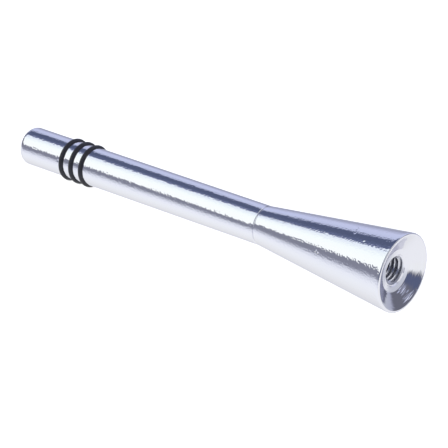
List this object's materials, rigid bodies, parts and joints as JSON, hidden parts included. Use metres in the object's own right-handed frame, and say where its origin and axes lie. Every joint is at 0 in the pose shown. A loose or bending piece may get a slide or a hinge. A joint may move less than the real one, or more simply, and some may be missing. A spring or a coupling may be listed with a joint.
{
  "type": "car mast aerial",
  "caption": "Short turned aluminium car aerial mast: straight shaft with rubber rings near its rounded tip, flaring to a dished base with a threaded bore.",
  "frame": {"origin": "centre of the base rim, in the plane that the mast stands on", "axes": "+Z along the mast from the base to the tip; +X and +Y are any two directions square to it, because the mast is turned"},
  "size_m": [0.0166, 0.0166, 0.102],
  "materials": {
    "polished_aluminium": "polished, with fine turning marks round the mast",
    "black_rubber": "smooth moulded rubber with a soft sheen"
  },
  "bodies": {
    "root": {"mast": "polished_aluminium", "tip_o_ring": "black_rubber", "middle_o_ring": "black_rubber", "lower_o_ring": "black_rubber"}
  },
  "joints": []
}
